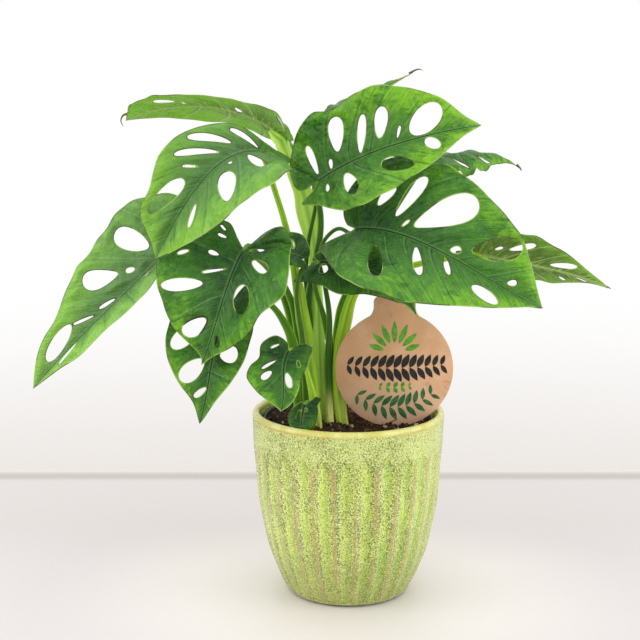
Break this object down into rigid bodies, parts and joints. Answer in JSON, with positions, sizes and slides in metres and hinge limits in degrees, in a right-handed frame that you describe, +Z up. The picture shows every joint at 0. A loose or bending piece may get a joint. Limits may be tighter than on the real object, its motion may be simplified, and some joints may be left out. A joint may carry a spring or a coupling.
{
  "type": "potted_plant",
  "caption": "Monstera adansonii house plant with pierced heart-shaped leaves, in a ribbed green glazed ceramic pot",
  "frame": {"origin": "the centre of the ceramic pot's flat foot, on the surface that it stands on", "axes": "+Z is up, out of the pot's mouth; -Y is the front, the side with the round tag and the large leaves' upper sides; +X is to the right as seen from the front"},
  "size_m": [0.4087, 0.1785, 0.379],
  "materials": {
    "green_glaze": "gloss",
    "black_plastic": "matte",
    "potting_soil": "rough, crumbly",
    "tag_board": "matte print on thin board",
    "leaf": "semi-gloss living leaf",
    "stalk": "satin living stalk"
  },
  "bodies": {
    "root": {"pot": "green_glaze", "nursery_pot": "black_plastic", "soil": "potting_soil", "tag": "tag_board", "leaf_top_right": "leaf", "stalk_top_right": "stalk", "leaf_right": "leaf", "stalk_right": "stalk", "leaf_left_front": "leaf", "stalk_left_front": "stalk", "leaf_upper_left": "leaf", "stalk_upper_left": "stalk", "leaf_far_left": "leaf", "stalk_far_left": "stalk", "leaf_low_left": "leaf", "stalk_low_left": "stalk", "leaf_front_small": "leaf", "stalk_front_small": "stalk", "leaf_far_right": "leaf", "stalk_far_right": "stalk", "leaf_top_left": "leaf", "stalk_top_left": "stalk", "leaf_mid_right": "leaf", "stalk_mid_right": "stalk", "leaf_back_right": "leaf", "stalk_back_right": "stalk", "leaf_back_top": "leaf", "stalk_back_top": "stalk", "leaf_centre_small": "leaf", "stalk_centre_small": "stalk", "leaf_soil_baby": "leaf", "stalk_soil_baby": "stalk"}
  },
  "joints": []
}
